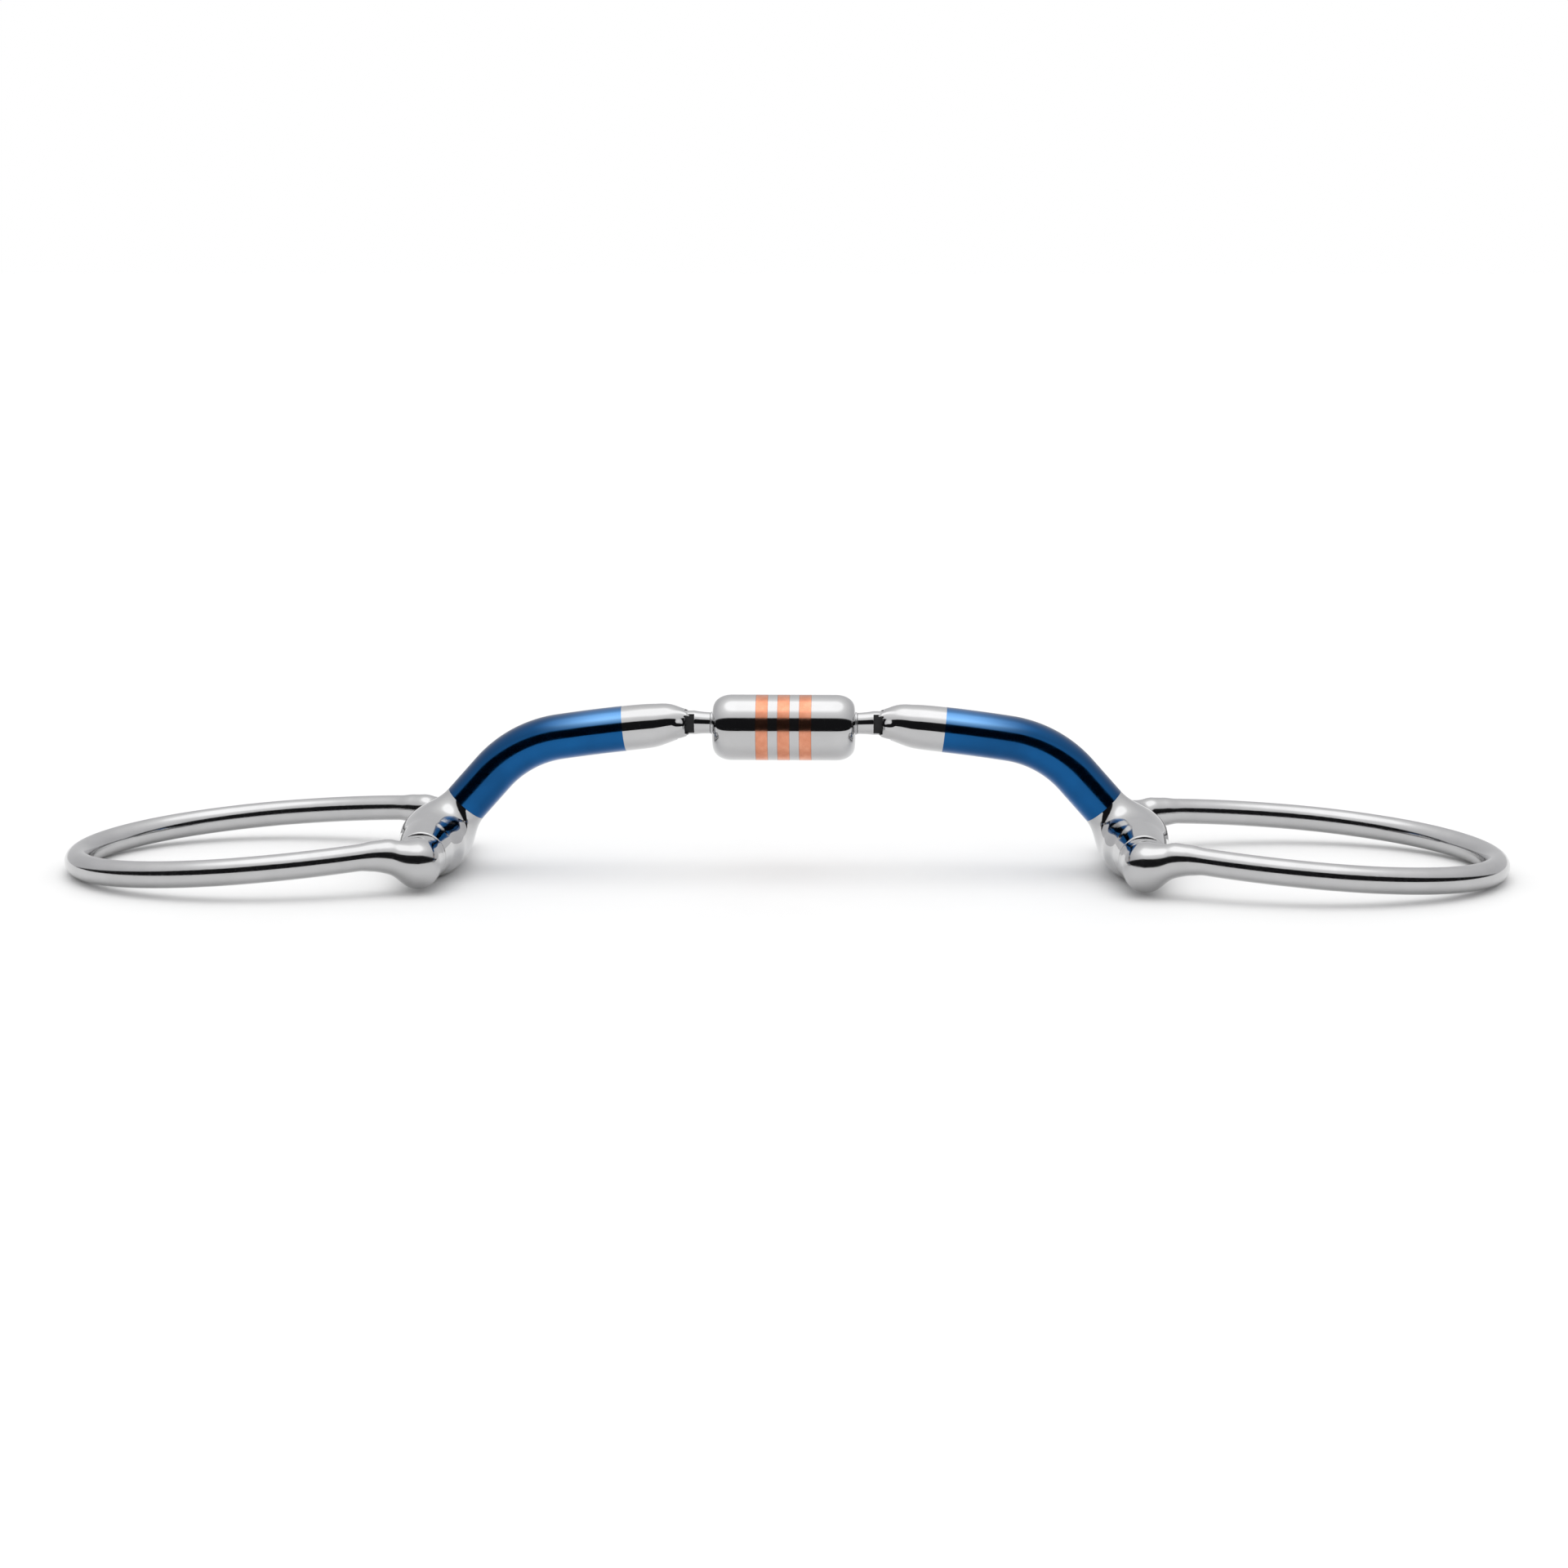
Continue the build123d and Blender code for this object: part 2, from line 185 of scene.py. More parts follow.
def onto_surface(field, points, rounds):
    """Newton steps that bring every point onto the field's zero surface."""
    nudge = 0.02
    for _ in range(rounds):
        value = field(points)
        slope = np.stack([(field(points + nudge * e) - field(points - nudge * e)) / (2 * nudge)
                          for e in np.eye(3)], 1)
        slope_squared = np.maximum((slope**2).sum(1), 0.25)
        points = points - slope * (value / slope_squared)[:, None]
    return points


def largest_piece(points, quads):
    """Drops loose crumbs: every vertex takes the lowest label among its neighbours until all agree."""
    label = np.arange(len(points))
    while True:
        lowest = label[quads].min(1)
        new = label.copy()
        for i in range(4):
            np.minimum.at(new, quads[:, i], lowest)
        new = new[new]
        if (new == label).all():
            break
        label = new
    names, counts = np.unique(label, return_counts=True)
    keep = label == names[counts.argmax()]
    number = np.cumsum(keep) - 1
    return points[keep], number[quads[keep[quads].all(1)]]


def relaxed(points, quads):
    """Each vertex halfway towards the mean of its neighbours."""
    total, count = np.zeros_like(points), np.zeros(len(points))
    for i in range(4):
        a, b = quads[:, i], quads[:, (i + 1) % 4]
        for here, there in ((a, b), (b, a)):
            np.add.at(total, here, points[there])
            np.add.at(count, here, 1)
    return (points + total / count[:, None]) / 2


def field_mesh(name, field, low, high, step):
    """Mesh object of a distance field between two corners, with some cells to spare all round."""
    low, high = np.asarray(low, float) - 2.5 * step, np.asarray(high, float) + 2.5 * step
    axes = [np.arange(l, h, step) for l, h in zip(low, high)]
    sheets = []
    yz = np.stack(np.meshgrid(axes[1], axes[2], indexing="ij"), -1).reshape(-1, 2)
    for x in axes[0]:
        sheet = np.column_stack([np.full(len(yz), x), yz])
        sheets.append(field(sheet).reshape(len(axes[1]), len(axes[2])))
    values = np.stack(sheets)
    values[values == 0] = 1e-6
    points, quads = largest_piece(*surface_net(values))
    points = low + points * step
    for _ in range(3):
        points = onto_surface(field, relaxed(points, quads), 2)
    points = onto_surface(field, points, 2)
    return new_object(name, points, quads.tolist())


def new_object(name, points_mm, faces):
    """Object at the origin whose mesh is given in millimetres."""
    mesh = bpy.data.meshes.new(name)
    mesh.from_pydata((np.asarray(points_mm) * MM).tolist(), [], faces)
    mesh.validate()
    obj = bpy.data.objects.new(name, mesh)
    bpy.context.scene.collection.objects.link(obj)
    return obj


def face_outward(obj):
    bm = bmesh.new()
    bm.from_mesh(obj.data)
    bmesh.ops.recalc_face_normals(bm, faces=bm.faces[:])
    bm.to_mesh(obj.data)
    bm.free()


def cut_flat(obj, place_mm, normal):
    """Cuts everything on the normal's side away and closes the cut with a flat cap."""
    bm = bmesh.new()
    bm.from_mesh(obj.data)
    cut = bmesh.ops.bisect_plane(bm, geom=bm.verts[:] + bm.edges[:] + bm.faces[:], dist=1e-7,
                                 plane_co=Vector(place_mm) * MM, plane_no=Vector(normal), clear_outer=True)
    rim = [e for e in cut["geom_cut"] if isinstance(e, bmesh.types.BMEdge)]
    bmesh.ops.triangle_fill(bm, edges=rim, use_beauty=True, use_dissolve=False)
    bmesh.ops.recalc_face_normals(bm, faces=bm.faces[:])
    bm.to_mesh(obj.data)
    bm.free()


def shade(obj, sharp_deg=38):
    """Smooth shading, except across real edges."""
    obj.data.shade_smooth()
    obj.data.set_sharp_from_angle(angle=radians(sharp_deg))


def left_copy(obj, name):
    """Mirror image of a right-hand piece."""
    mesh = obj.data.copy()
    mesh.name = name
    count = len(mesh.vertices)
    co = np.zeros(3 * count, np.float32)
    mesh.vertices.foreach_get("co", co)
    co[0::3] *= -1
    mesh.vertices.foreach_set("co", co)
    mesh.flip_normals()
    left = bpy.data.objects.new(name, mesh)
    bpy.context.scene.collection.objects.link(left)
    shade(left)
    return left


# ------------------------------------------------------------------ the arm's centre line
def polar(centre, radius, degrees):
    """Point (x, z) at an angle from straight up, clockwise as the camera sees it."""
    return centre[0] + radius * sin(radians(degrees)), centre[1] + radius * cos(radians(degrees))


UP = (-cos(radians(ARM_SLOPE)), sin(radians(ARM_SLOPE)))       # x and z steps from hinge to bend
BEND_START = (HINGE_X + STRAIGHT * UP[0], HINGE_Z + STRAIGHT * UP[1])
BEND_CENTRE = (BEND_START[0] - BEND_R * UP[1], BEND_START[1] + BEND_R * UP[0])
CREST_DEG = ARM_SLOPE - BEND_DEG
BEND_END = polar(BEND_CENTRE, BEND_R, CREST_DEG)
CREST_CENTRE = polar(BEND_END, -CREST_R, CREST_DEG)
INNER_TILT = np.arcsin((INNER_SEAM[0] - CREST_CENTRE[0]) / CREST_R)


def crest_z(x):
    """Height of the centre line along the crest."""
    return CREST_CENTRE[1] + np.sqrt(CREST_R**2 - (x - CREST_CENTRE[0]) ** 2)


def arm_route(count):
    """Points (x, z) and slopes (degrees below the horizontal) from the inner to the outer seam."""
    crest = np.linspace(np.degrees(INNER_TILT), CREST_DEG, count)
    bend = np.linspace(CREST_DEG, ARM_SLOPE, 2 * count)[1:]
    run = np.linspace(0, 1, count // 2)[1:]
    start, end = np.array(BEND_START), OUTER_SEAM[[0, 2]]
    points = [np.array(polar(CREST_CENTRE, CREST_R, a)) for a in crest]
    points += [np.array(polar(BEND_CENTRE, BEND_R, a)) for a in bend]
    points += [start + t * (end - start) for t in run]
    return np.array(points), np.concatenate([crest, bend, np.full(len(run), ARM_SLOPE)])


# ------------------------------------------------------------------ pieces
def lathe_x(name, profile, turns=224):
    """Closed profile of (x, radius) turned about the roller's axis."""
    points, faces = [], []
    count = len(profile)
    for i in range(turns):
        a = 2 * pi * i / turns
        points += [(x, r * cos(a), ROLLER_Z + r * sin(a)) for x, r in profile]
    for i in range(turns):
        here, there = i * count, (i + 1) % turns * count
        for j in range(count):
            k = (j + 1) % count
            faces.append((here + j, here + k, there + k, there + j))
    obj = new_object(name, points, faces)
    face_outward(obj)
    shade(obj)
    return obj


def roller_barrel():
    """Barrel with round shoulders, a bevelled bore and three grooves for the bands."""
    bore = SPINDLE + LINK_Z - ROLLER_Z + GAP        # loose: the barrel hangs on its spindle
    bevel = 0.25
    fullness = 0.9                                  # 1 is an ellipse; less is squarer
    drop = ROLLER - bore - bevel
    shoulder_x, shoulder_r = ROLLER_HALF - SHOULDER, ROLLER - drop
    rounding = [(shoulder_x + SHOULDER * sin(a) ** fullness, shoulder_r + drop * cos(a) ** fullness)
                for a in np.linspace(0, pi / 2, 32)]
    right = rounding + [(ROLLER_HALF - bevel, bore)]
    outline = [(-x, r) for x, r in reversed(right)]
    groove = ROLLER - BAND_DEPTH
    for band in BANDS:
        low, high = node_box(band)
        outline += [(low[0], ROLLER), (low[0], groove), (high[0], groove), (high[0], ROLLER)]
    return lathe_x("polished_roller_barrel", outline + right)


def copper_band(node):
    """Inlaid band: flush, with its two edges eased by a hair so that the joint shows."""
    low, high = node_box(node)
    ease = 0.05
    profile = [(low[0], ROLLER - BAND_DEPTH), (low[0], ROLLER - ease), (low[0] + ease, ROLLER),
               (high[0] - ease, ROLLER), (high[0], ROLLER - ease), (high[0], ROLLER - BAND_DEPTH)]
    return lathe_x("inlaid_" + node, profile)


def link_eye():
    """Round waisted neck with flattened flanks, ending in an upright eye."""
    seat = SPINDLE_HIGH[0]
    flat_start = FOLD_X - FLANK_LENGTH
    peg, peg_r, overlap = node_box("right_link_eye")[0][0], 1.4, 1.0
    waist_r, swell, rise = SPINDLE - 0.1, 0.25, 0.1
    rounding, fillet = 0.3, 0.5

    def field(p):
        x, y, z = p[:, 0], p[:, 1], p[:, 2] - LINK_Z
        along = np.clip((x - seat) / (flat_start - seat), 0, 1)
        radius = waist_r + swell * along * along
        neck = smax(np.hypot(y, z - rise * along) - radius, between(x, seat, FOLD_X), 0.2)
        disc = smax(along_y(p, FOLD_X, LINK_Z, EYE_R), np.abs(y) - SPINDLE, rounding)
        eye = smin(neck, disc, fillet)
        flank = np.maximum(EYE_HALF_Y - np.abs(y), flat_start - x)
        eye = smax(eye, -flank, 0.12)
        eye = smax(eye, BAR_R + GAP - np.hypot(x - FOLD_X, z), 0.1)
        shank = smax(np.hypot(y, z) - peg_r, between(x, peg, seat + overlap), 0.2)
        return smin(eye, shank, 0.02)

    low, high = node_box("right_link_eye")
    obj = field_mesh("right_forged_link_eye", field, low, high, step=0.13)
    shade(obj)
    return obj


def eye_end():
    """Tapered inner end of the arm: round cheeks either side of the eye, and the bar's ball ends."""
    clear = EYE_R + FORK_GAP
    lip = clear / np.sqrt(2)
    cheek_r, cheek_y, crown = 2.8, 3.3, 0.12
    inside = 1.2                                # how far the taper begins on the roller's side of the bar
    lift_length = 5.4                           # where the centre line has met the arm's crest
    growth_length, growth_power = 3.3, 1.3      # how the end thickens into the arm
    notch_x, notch_half, notch_z = -1.25, 1.75, -0.1
    ball_r, ball_x, ball_y, ball_z = 1.75, 0.35, 2.45, -0.25
    bar_half = 2.6
    slot_mouth, slot_foot = -1.0, -9.0
    past_seam = 0.7                             # spare length, cut off flat afterwards

    def field(p):
        x, y, z = p[:, 0], p[:, 1], p[:, 2]
        dx, dz = x - FOLD_X, z - LINK_Z
        lift = np.clip(dx / lift_length, 0, 1)
        lift = lift * lift * (3 - 2 * lift)
        centre = LINK_Z + (crest_z(np.maximum(x, FOLD_X)) - LINK_Z) * lift
        grown = 1 - np.exp(-(np.maximum(dx + inside, 0) / growth_length) ** growth_power)
        half_z = cheek_r + (ARM_HALF_T - cheek_r) * grown
        half_y = cheek_y + (ARM_HALF_Y - cheek_y) * grown
        taper = (np.hypot(y / half_y, (z - centre) / half_z) - 1) * np.minimum(half_y, half_z)
        taper = np.maximum(taper, -inside - dx)
        disc = smax(along_y(p, FOLD_X, LINK_Z, cheek_r), np.abs(y) - cheek_y + crown * dz**2, 0.6)
        body = smin(taper, disc, 0.6)
        # the cheeks stop short of the neck, and the bar's two ends stand out as balls
        notch = np.maximum(dx - notch_x, np.abs(dz - notch_z) - notch_half)
        body = smax(body, -notch, 0.3)
        from_ball = np.column_stack([dx - ball_x, np.abs(y) - ball_y, dz - ball_z])
        body = smin(body, np.linalg.norm(from_ball, axis=1) - ball_r, 0.18)
        # the eye's slot is open towards the roller, and underneath as far as a 45 degree slope
        open_side = np.maximum(dx - slot_mouth, slot_foot - dz)
        under = np.maximum((dx - lip - (dz + lip)) / np.sqrt(2), dz)
        slot = np.minimum(np.minimum(np.hypot(dx, dz) - clear, open_side), under)
        slot = smax(slot, np.abs(y) - EYE_HALF_Y - FORK_GAP, 0.15)
        body = smax(body, -slot, 0.2)
        bar = np.maximum(np.hypot(dx, dz) - BAR_R, np.abs(y) - bar_half)
        body = smin(body, bar, 0.1)
        step_x, step_z = x - INNER_SEAM[0], z - INNER_SEAM[2]
        inward = -step_x * cos(INNER_TILT) + step_z * sin(INNER_TILT)
        across = np.hypot(y, step_x * sin(INNER_TILT) + step_z * cos(INNER_TILT))
        bore = np.maximum(across - STUD, inward - STUD_DEPTH)
        return np.maximum(smax(body, -bore, 0.1), -inward - past_seam)

    low, high = node_box("right_eye_end")
    low[0] = FOLD_X - cheek_r
    obj = field_mesh("right_polished_eye_end", field, low, high + np.array([1.0, 0, 0]), step=0.2)
    cut_flat(obj, INNER_SEAM, (cos(INNER_TILT), 0, -sin(INNER_TILT)))
    shade(obj)
    return obj


def cannon():
    """Blue run: one smooth oval bar that follows the bend, flat at both seams."""
    route, slopes = arm_route(40)
    around = 96
    points, faces = [], []
    for (x, z), slope in zip(route, np.radians(slopes)):
        for i in range(around):
            a = 2 * pi * i / around
            up = ARM_HALF_T * sin(a)
            points.append((x + up * sin(slope), ARM_HALF_Y * cos(a), z + up * cos(slope)))
    rows = len(route)
    for r in range(rows - 1):
        for i in range(around):
            j = (i + 1) % around
            faces.append((r * around + i, r * around + j, (r + 1) * around + j, (r + 1) * around + i))
    faces.append(tuple(range(around)))
    faces.append(tuple(reversed(range((rows - 1) * around, rows * around))))
    obj = new_object("right_blued_cannon", points, faces)
    face_outward(obj)
    shade(obj)
    return obj


def butt():
    """Egg-shaped hinge barrel that grows smoothly out of the arm's stub."""
    widening_length, widen_y, widen_t = 10.0, 3.5, 0.6
    stub_length = 10.8                          # past the seam, and cut off flat afterwards
    stud_start = 5.0
    table = 0.03                                # the barrel's underside just clears the table
    heel_x, heel_z, heel_r, heel_half = HINGE_X - 2.2, HINGE_Z - 0.2, 4.7, 8
    heel_fillet, stub_fillet = 3.0, 4.4

    def field(p):
        x, y, z = p[:, 0] - HINGE_X, p[:, 1], p[:, 2] - HINGE_Z
        egg = np.hypot(x, z) - (BUTT_R - (BUTT_R - BUTT_END_R) * (y / BUTT_HALF) ** 2)
        along = x * UP[0] + z * UP[1]
        side = x * UP[1] - z * UP[0]
        widened = np.clip(1 - along / widening_length, 0, 1) ** 2
        half_y, half_t = ARM_HALF_Y + widen_y * widened, ARM_HALF_T + widen_t * widened
        stub = (np.hypot(y / half_y, side / half_t) - 1) * np.minimum(half_y, half_t)
        stub = np.maximum(stub, np.maximum(-along, along - stub_length))
        # the arm's root fills the inner side of the barrel out towards the table
        heel = rod(p, (heel_x, -heel_half, heel_z), (heel_x, heel_half, heel_z), heel_r, heel_r)
        body = smin(smin(egg, heel, heel_fillet), stub, stub_fillet)
        body = smax(body, np.abs(y) - BUTT_HALF, 0.5)
        body = smax(body, table - p[:, 2], 0.3)
        body = smax(body, PIN + GAP - np.hypot(x, z), 0.2)
        stud = np.maximum(np.hypot(y, side) - STUD, stud_start - along)
        return smax(body, -stud, 0.1)

    low, high = node_box("right_butt")
    obj = field_mesh("right_polished_butt", field, low - 0.5, high + 1.2, step=0.3)
    cut_flat(obj, OUTER_SEAM, (UP[0], 0, UP[1]))
    shade(obj)
    return obj


def ring_outline():
    """Distance from the ring's centre line in its own plane, as a function of u (outward) and v."""
    lead_length = 5.0                           # straight run that leads from the bell into the limb
    limb_angle, side_angle = radians(LIMB_DEG), radians(SIDE_DEG)
    limb_centre = (LIMB_START[0] + LIMB_R * sin(limb_angle), LIMB_START[1] - LIMB_R * cos(limb_angle))
    side_centre = (limb_centre[0], limb_centre[1] + LIMB_R - SIDE_R)
    tip_r = side_centre[1] / cos(side_angle) + SIDE_R
    tip_centre = (side_centre[0] + (SIDE_R - tip_r) * sin(side_angle), 0)
    lead = np.array([cos(limb_angle), sin(limb_angle)])
    lead_start = np.array(LIMB_START) - lead_length * lead

    def distance(u, v):
        flat = np.minimum(arc_distance(u, v, limb_centre, LIMB_R, -limb_angle, 0),
                          arc_distance(u, v, side_centre, SIDE_R, 0, side_angle))
        flat = np.minimum(flat, arc_distance(u, v, tip_centre, tip_r, side_angle, pi / 2))
        t = np.clip((u - lead_start[0]) * lead[0] + (v - lead_start[1]) * lead[1], 0, lead_length)
        return np.minimum(flat, np.hypot(u - lead_start[0] - t * lead[0], v - lead_start[1] - t * lead[1]))

    return distance


def cheek_ring():
    """Loop of round wire; both ends flow into bells with a flat face towards the butt."""
    tilt_sine = (RING_PLANE_Z - WIRE) / (RING_HIGH[0] - WIRE - HINGE_X)
    tilt_cosine = np.sqrt(1 - tilt_sine**2)
    outline = ring_outline()
    face = (HINGE_X, BELL_FACE - 1.2, HINGE_Z)
    dome, dome_r = np.array([HINGE_X, DOME_Y - 0.6, HINGE_Z - DOME_DROP]), DOME_R - 0.2
    brow = np.array([HINGE_X, DOME_Y, HINGE_Z - BROW_DROP])
    crown_fall = 0.18
    limb, limb_r = np.array([HINGE_X + 8.2, LIMB_START[1] - 1.0, RING_PLANE_Z - 1.1]), 2.1
    flare_end, flare_r = brow + np.array([0.6, 0, 0]), DOME_R - 0.1
    wire_fillet, bell_fillet = 2.4, 1.8
    wire_start, uncut = 9, 60                   # past wire_start the flat cut is moved out of reach

    def field(p):
        x, y, z = p[:, 0] - HINGE_X, np.abs(p[:, 1]), p[:, 2] - RING_PLANE_Z
        u, w = x * tilt_cosine - z * tilt_sine, x * tilt_sine + z * tilt_cosine
        wire = np.hypot(outline(u, y), w) - WIRE
        q = np.column_stack([p[:, 0], y, p[:, 2]])
        flare = rod(q, limb, flare_end, limb_r, flare_r)
        bell = smin(rod(q, face, dome, BELL_R, dome_r), rod(q, face, brow, BELL_R, DOME_R), 1.0)
        # the top of the bell is flattened and falls a little towards the dome
        bell = smax(bell, p[:, 2] - CROWN_Z + crown_fall * (y - BELL_FACE), 1.6)
        body = smin(smin(wire, flare, wire_fillet), bell, bell_fillet)
        body = smax(body, BELL_FACE - y - uncut * (x > wire_start), 0.45)
        hole = np.maximum(along_y(p, HINGE_X, HINGE_Z, PIN), y - PIN_HALF)
        return smax(body, -hole, 0.1)

    obj = field_mesh("right_polished_cheek_ring", field, RING_LOW - 0.3, RING_HIGH + 0.3, step=0.36)
    shade(obj)
    return obj


# ------------------------------------------------------------------ materials
def new_material(name):
    material = bpy.data.materials.new(name)
    material.use_nodes = True
    tree = material.node_tree
    return material, tree, tree.nodes["Principled BSDF"]


def noise(tree, scale, stretch=(1, 1, 1), detail=4.0, roughness=0.55):
    """Noise in the piece's own coordinates; scale is in features per metre."""
    coords = tree.nodes.new("ShaderNodeTexCoord")
    mapping = tree.nodes.new("ShaderNodeMapping")
    mapping.inputs["Scale"].default_value = stretch
    texture = tree.nodes.new("ShaderNodeTexNoise")
    texture.inputs["Scale"].default_value = scale
    texture.inputs["Detail"].default_value = detail
    texture.inputs["Roughness"].default_value = roughness
    tree.links.new(coords.outputs["Object"], mapping.inputs["Vector"])
    tree.links.new(mapping.outputs["Vector"], texture.inputs["Vector"])
    return texture.outputs["Fac"]


def ramp(tree, value, stops):
    """Colour that follows a value through (place, colour) stops."""
    node = tree.nodes.new("ShaderNodeValToRGB")
    while len(node.color_ramp.elements) < len(stops):
        node.color_ramp.elements.new(0.5)
    for element, (position, colour) in zip(node.color_ramp.elements, stops):
        element.position = position
        element.color = (*colour, 1)
    tree.links.new(value, node.inputs["Fac"])
    return node.outputs["Color"]


def map_range(tree, value, start, end, low, high, smooth=False):
    """The value's stretch from start to end becomes low to high."""
    node = tree.nodes.new("ShaderNodeMapRange")
    node.interpolation_type = "SMOOTHSTEP" if smooth else "LINEAR"
    for socket, level in (("From Min", start), ("From Max", end), ("To Min", low), ("To Max", high)):
        node.inputs[socket].default_value = level
    tree.links.new(value, node.inputs["Value"])
    return node.outputs["Result"]


def spread(tree, value, low, high):
    """Noise, which keeps mostly between 0.3 and 0.7, as low to high."""
    return map_range(tree, value, 0.3, 0.7, low, high)


def times(tree, a, b):
    node = tree.nodes.new("ShaderNodeMath")
    node.operation = "MULTIPLY"
    tree.links.new(a, node.inputs[0])
    tree.links.new(b, node.inputs[1])
    return node.outputs["Value"]


def mixed(tree, factor, under, over):
    """Two colours by a factor; each is a socket or a plain (r, g, b)."""
    node = tree.nodes.new("ShaderNodeMix")
    node.data_type = "RGBA"
    tree.links.new(factor, node.inputs["Factor"])
    for number, colour in ((6, under), (7, over)):
        if isinstance(colour, tuple):
            node.inputs[number].default_value = (*colour, 1)
        else:
            tree.links.new(colour, node.inputs[number])
    return node.outputs[2]


def split_xyz(tree, vector):
    node = tree.nodes.new("ShaderNodeSeparateXYZ")
    tree.links.new(vector, node.inputs["Vector"])
    return node.outputs


def bump(tree, value, shader, height):
    """Relief of the given height in metres."""
    node = tree.nodes.new("ShaderNodeBump")
    node.inputs["Strength"].default_value = 0.5
    node.inputs["Distance"].default_value = height
    tree.links.new(value, node.inputs["Height"])
    tree.links.new(node.outputs["Normal"], shader.inputs["Normal"])


def polished_steel(name, tint, rough, buff=(1, 1, 1)):
    """Mirror-polished stainless: faint cloudiness, buffing lines and a few dull worn patches."""
    material, tree, shader = new_material(name)
    shader.inputs["Metallic"].default_value = 1.0
    cloud = noise(tree, 160)
    dark = tuple(0.94 * c for c in tint)
    tree.links.new(ramp(tree, cloud, [(0.35, dark), (0.65, tint)]), shader.inputs["Base Color"])
    rub = noise(tree, 900, buff, 6.0, 0.65)
    tree.links.new(spread(tree, rub, rough, rough * 1.9), shader.inputs["Roughness"])
    bump(tree, noise(tree, 2600, buff, 3.0), shader, 0.0000025)
    return material


def blued_steel():
    """Heat-blued polished steel: the blue wanders; a painted highlight pales the crest's upward faces and
    painted shade deepens the blue over the bend.
    """
    # the pale blue is a painted highlight and the deep blue is painted shade, both laid on by the
    # surface's direction and place on the arm
    painted_highlight_blue, painted_shade_blue = (0.20, 0.42, 0.74), (0.003, 0.045, 0.135)
    crest_end, bend_start = 0.052, 0.036        # distances from the roller's middle, in metres
    material, tree, shader = new_material("blued_steel")
    shader.inputs["Metallic"].default_value = 1.0
    drift = noise(tree, 55, (1, 1, 1), 3.0)
    stops = [(0.3, (0.004, 0.070, 0.21)), (0.5, (0.005, 0.090, 0.27)), (0.7, (0.006, 0.110, 0.32))]
    blue = ramp(tree, drift, stops)
    coords = tree.nodes.new("ShaderNodeTexCoord")
    up = split_xyz(tree, coords.outputs["Normal"])["Z"]
    outward = tree.nodes.new("ShaderNodeMath")
    outward.operation = "ABSOLUTE"
    tree.links.new(split_xyz(tree, coords.outputs["Object"])["X"], outward.inputs[0])
    reach = outward.outputs["Value"]
    # painted highlight: faces turned partly upwards on the crest become pale blue, fading out towards the
    # bend
    painted_highlight_mask = ramp(tree, up, [(0.36, (0, 0, 0)), (0.60, (1, 1, 1)), (0.80, (0.55, 0.55, 0.55)),
                             (0.97, (0.1, 0.1, 0.1))])
    painted_highlight_mask = times(tree, painted_highlight_mask, map_range(tree, reach, bend_start, crest_end, 0.85, 0.0, smooth=True))
    # painted shade: faces turned upwards over the bend become a deeper blue
    painted_shade_mask = ramp(tree, up, [(0.30, (0, 0, 0)), (0.55, (1, 1, 1))])
    painted_shade_mask = times(tree, painted_shade_mask, map_range(tree, reach, bend_start, 0.050, 0.0, 0.75, smooth=True))
    blue = mixed(tree, painted_shade_mask, blue, painted_shade_blue)
    blue = mixed(tree, painted_highlight_mask, blue, painted_highlight_blue)
    tree.links.new(blue, shader.inputs["Base Color"])
    lines = noise(tree, 1100, (0.25, 1, 1), 6.0)
    tree.links.new(spread(tree, lines, 0.10, 0.19), shader.inputs["Roughness"])
    shader.inputs["Coat Weight"].default_value = 0.15
    shader.inputs["Coat Roughness"].default_value = 0.08
    bump(tree, noise(tree, 2200, (0.2, 1, 1), 3.0), shader, 0.000003)
    return material


def paint_flank_shade(obj):
    """Painted shade: the eye's flanks, which sit between the fork's cheeks, get near-black steel for the
    gap they sit in.
    """
    margin = 0.03
    obj.data.materials.append(FLANK_PAINTED_SHADE_STEEL)
    for face in obj.data.polygons:
        x, y, _ = face.center / MM
        if abs(x) > FOLD_X - FLANK_LENGTH + margin and abs(y) > EYE_HALF_Y - 2 * margin:
            face.material_index = 1


def copper():
    """Satin copper, finely turned round the roller, with warmer and duller patches."""
    material, tree, shader = new_material("inlaid_copper")
    shader.inputs["Metallic"].default_value = 1.0
    patches = noise(tree, 420, (1, 1, 1), 5.0, 0.6)
    stops = [(0.3, (0.62, 0.24, 0.14)), (0.55, (0.71, 0.30, 0.185)), (0.75, (0.78, 0.37, 0.24))]
    tree.links.new(ramp(tree, patches, stops), shader.inputs["Base Color"])
    turned = noise(tree, 1500, (8, 0.6, 0.6), 5.0, 0.6)
    tree.links.new(spread(tree, turned, 0.11, 0.22), shader.inputs["Roughness"])
    bump(tree, turned, shader, 0.000006)
    return material


def pale_floor():
    """Matt white table with the faintest mottling."""
    material, tree, shader = new_material("pale_floor")
    white = ramp(tree, noise(tree, 30), [(0.3, (0.86, 0.86, 0.86)), (0.7, (0.88, 0.88, 0.88))])
    tree.links.new(white, shader.inputs["Base Color"])
    shader.inputs["Roughness"].default_value = 0.55
    return material


def dress(obj, material):
    """Gives an object its material."""
    obj.data.materials.clear()
    obj.data.materials.append(material)


# ------------------------------------------------------------------ making the pieces
STEEL = polished_steel("polished_steel", (0.53, 0.53, 0.535), 0.05)
RING_STEEL = polished_steel("ring_steel", (0.52, 0.52, 0.525), 0.085)
PLAIN_STEEL = polished_steel("plain_turned_steel", (0.58, 0.58, 0.59), 0.22, (8, 1, 1))
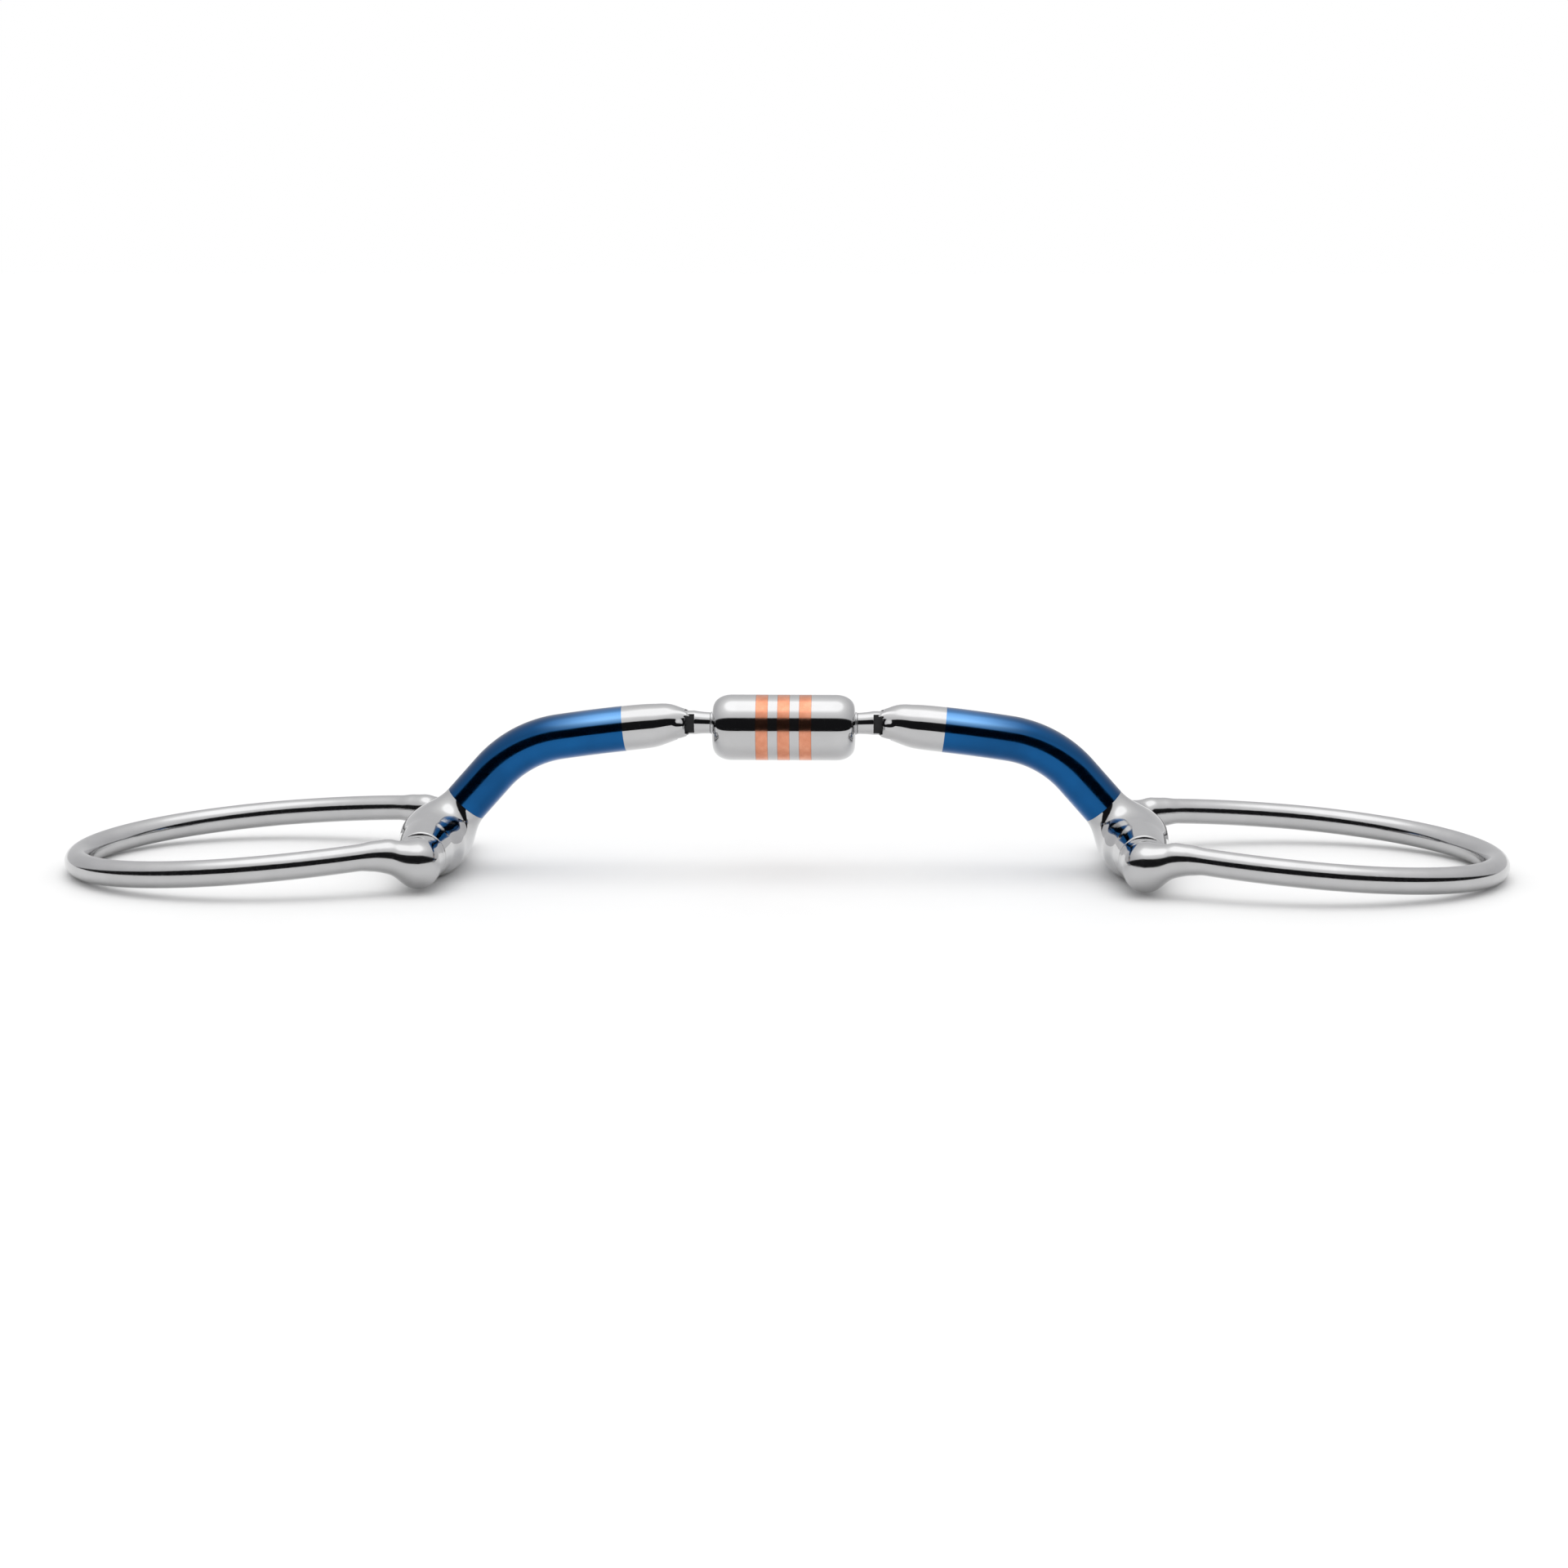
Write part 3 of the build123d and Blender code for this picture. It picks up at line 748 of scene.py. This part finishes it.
# painted shade: near-black steel laid on the link eye's flanks, where they sit in the fork's gap
FLANK_PAINTED_SHADE_STEEL = polished_steel("painted_shade_steel", (0.05, 0.05, 0.052), 0.3)
BLUE = blued_steel()
COPPER = copper()


def place(obj, body, node, material):
    """A new piece that stands for a CAD node and moves with its body."""
    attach(obj, body)
    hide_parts(node)
    dress(obj, material)


place(roller_barrel(), "roller", "roller_barrel", STEEL)
for band in BANDS:
    place(copper_band(band), "roller", band, COPPER)

for make, node, body, material, slot in (
        (link_eye, "link_eye", "link", STEEL, "steel"),
        (eye_end, "eye_end", "arm", STEEL, "arm_steel"),
        (cannon, "cannon", "arm", BLUE, "blue_steel"),
        (butt, "butt", "arm", STEEL, "arm_steel"),
        (cheek_ring, "cheek_ring", "ring", RING_STEEL, "ring_steel")):
    right = make()
    left = left_copy(right, right.name.replace("right", "left"))
    for side, obj in (("right", right), ("left", left)):
        place(obj, body if body == "link" else f"{side}_{body}", f"{side}_{node}", material)
        # the link eyes' flanks get painted shade
        if node == "link_eye":
            paint_flank_shade(obj)

for node in ("roller_spindle", "left_hinge_pin", "right_hinge_pin", "left_inner_stud", "right_inner_stud",
             "left_outer_stud", "right_outer_stud"):
    dress(frame["nodes"][node], PLAIN_STEEL)


# ------------------------------------------------------------------ floor, light and camera
def floor():
    """Table top that starts just in front of the bit and runs on far behind it."""
    reach, front = 40.0, -0.36
    mesh = bpy.data.meshes.new("floor")
    mesh.from_pydata([(-reach, front, 0), (reach, front, 0), (reach, reach, 0), (-reach, reach, 0)], [],
                     [(0, 1, 2, 3)])
    obj = bpy.data.objects.new("floor", mesh)
    bpy.context.scene.collection.objects.link(obj)
    obj.data.materials.append(pale_floor())


def studio_world():
    """White studio, brightest overhead, with a dark zone low on the photographer's side."""
    world = bpy.data.worlds.new("studio")
    bpy.context.scene.world = world
    world.use_nodes = True
    tree = world.node_tree
    background = tree.nodes["Background"]
    way = split_xyz(tree, tree.nodes.new("ShaderNodeTexCoord").outputs["Generated"])
    light = ramp(tree, way["Z"],
                 [(0.0, (0.68, 0.68, 0.69)), (0.30, (0.70, 0.70, 0.71)), (0.55, (0.82, 0.82, 0.83)),
                  (0.77, (1.0, 1.0, 1.0)), (0.88, (1.2, 1.2, 1.2)), (0.95, (1.8, 1.8, 1.8))])
    # the dark zone reaches 40 degrees up in front and thins out towards the sides
    lean = tree.nodes.new("ShaderNodeMath")
    lean.operation = "MULTIPLY_ADD"
    lean.inputs[1].default_value = 0.5
    tree.links.new(way["Y"], lean.inputs[0])
    tree.links.new(way["Z"], lean.inputs[2])
    edge = map_range(tree, lean.outputs["Value"], 0.25, 0.33, 0.0, 1.0, smooth=True)
    colour = mixed(tree, edge, (0.012, 0.012, 0.013), light)
    # the backdrop is plain white, and dull surfaces get an even white light from all round
    path = tree.nodes.new("ShaderNodeLightPath")
    for ray, level in (("Is Camera Ray", 1.0), ("Is Diffuse Ray", 0.98)):
        colour = mixed(tree, path.outputs[ray], colour, (level, level, level))
    tree.links.new(colour, background.inputs["Color"])


def overhead_light():
    """Very wide, even light from above, for the soft shadows under the bit."""
    data = bpy.data.lights.new("overhead_light", "SUN")
    data.energy = 0.8
    data.angle = radians(60)
    obj = bpy.data.objects.new("overhead_light", data)
    obj.rotation_euler = (radians(-8), 0, 0)
    obj.visible_glossy = False
    bpy.context.scene.collection.objects.link(obj)


def camera():
    """A little above the bit and a finger's breadth to the right, with a long lens."""
    distance, pitch, turn, aim_z = 0.650, radians(9.4), radians(1.5), 0.0181
    data = bpy.data.cameras.new("camera")
    data.lens = 72.2
    data.sensor_width = 36
    data.clip_start = 0.01
    obj = bpy.data.objects.new("camera", data)
    reach, rise = distance * cos(pitch), distance * sin(pitch)
    obj.location = (reach * sin(turn), -reach * cos(turn), aim_z + rise)
    obj.rotation_euler = (pi / 2 - pitch, 0, turn)
    bpy.context.scene.collection.objects.link(obj)
    bpy.context.scene.camera = obj


floor()
studio_world()
overhead_light()
camera()
bpy.context.scene.view_settings.view_transform = "Standard"
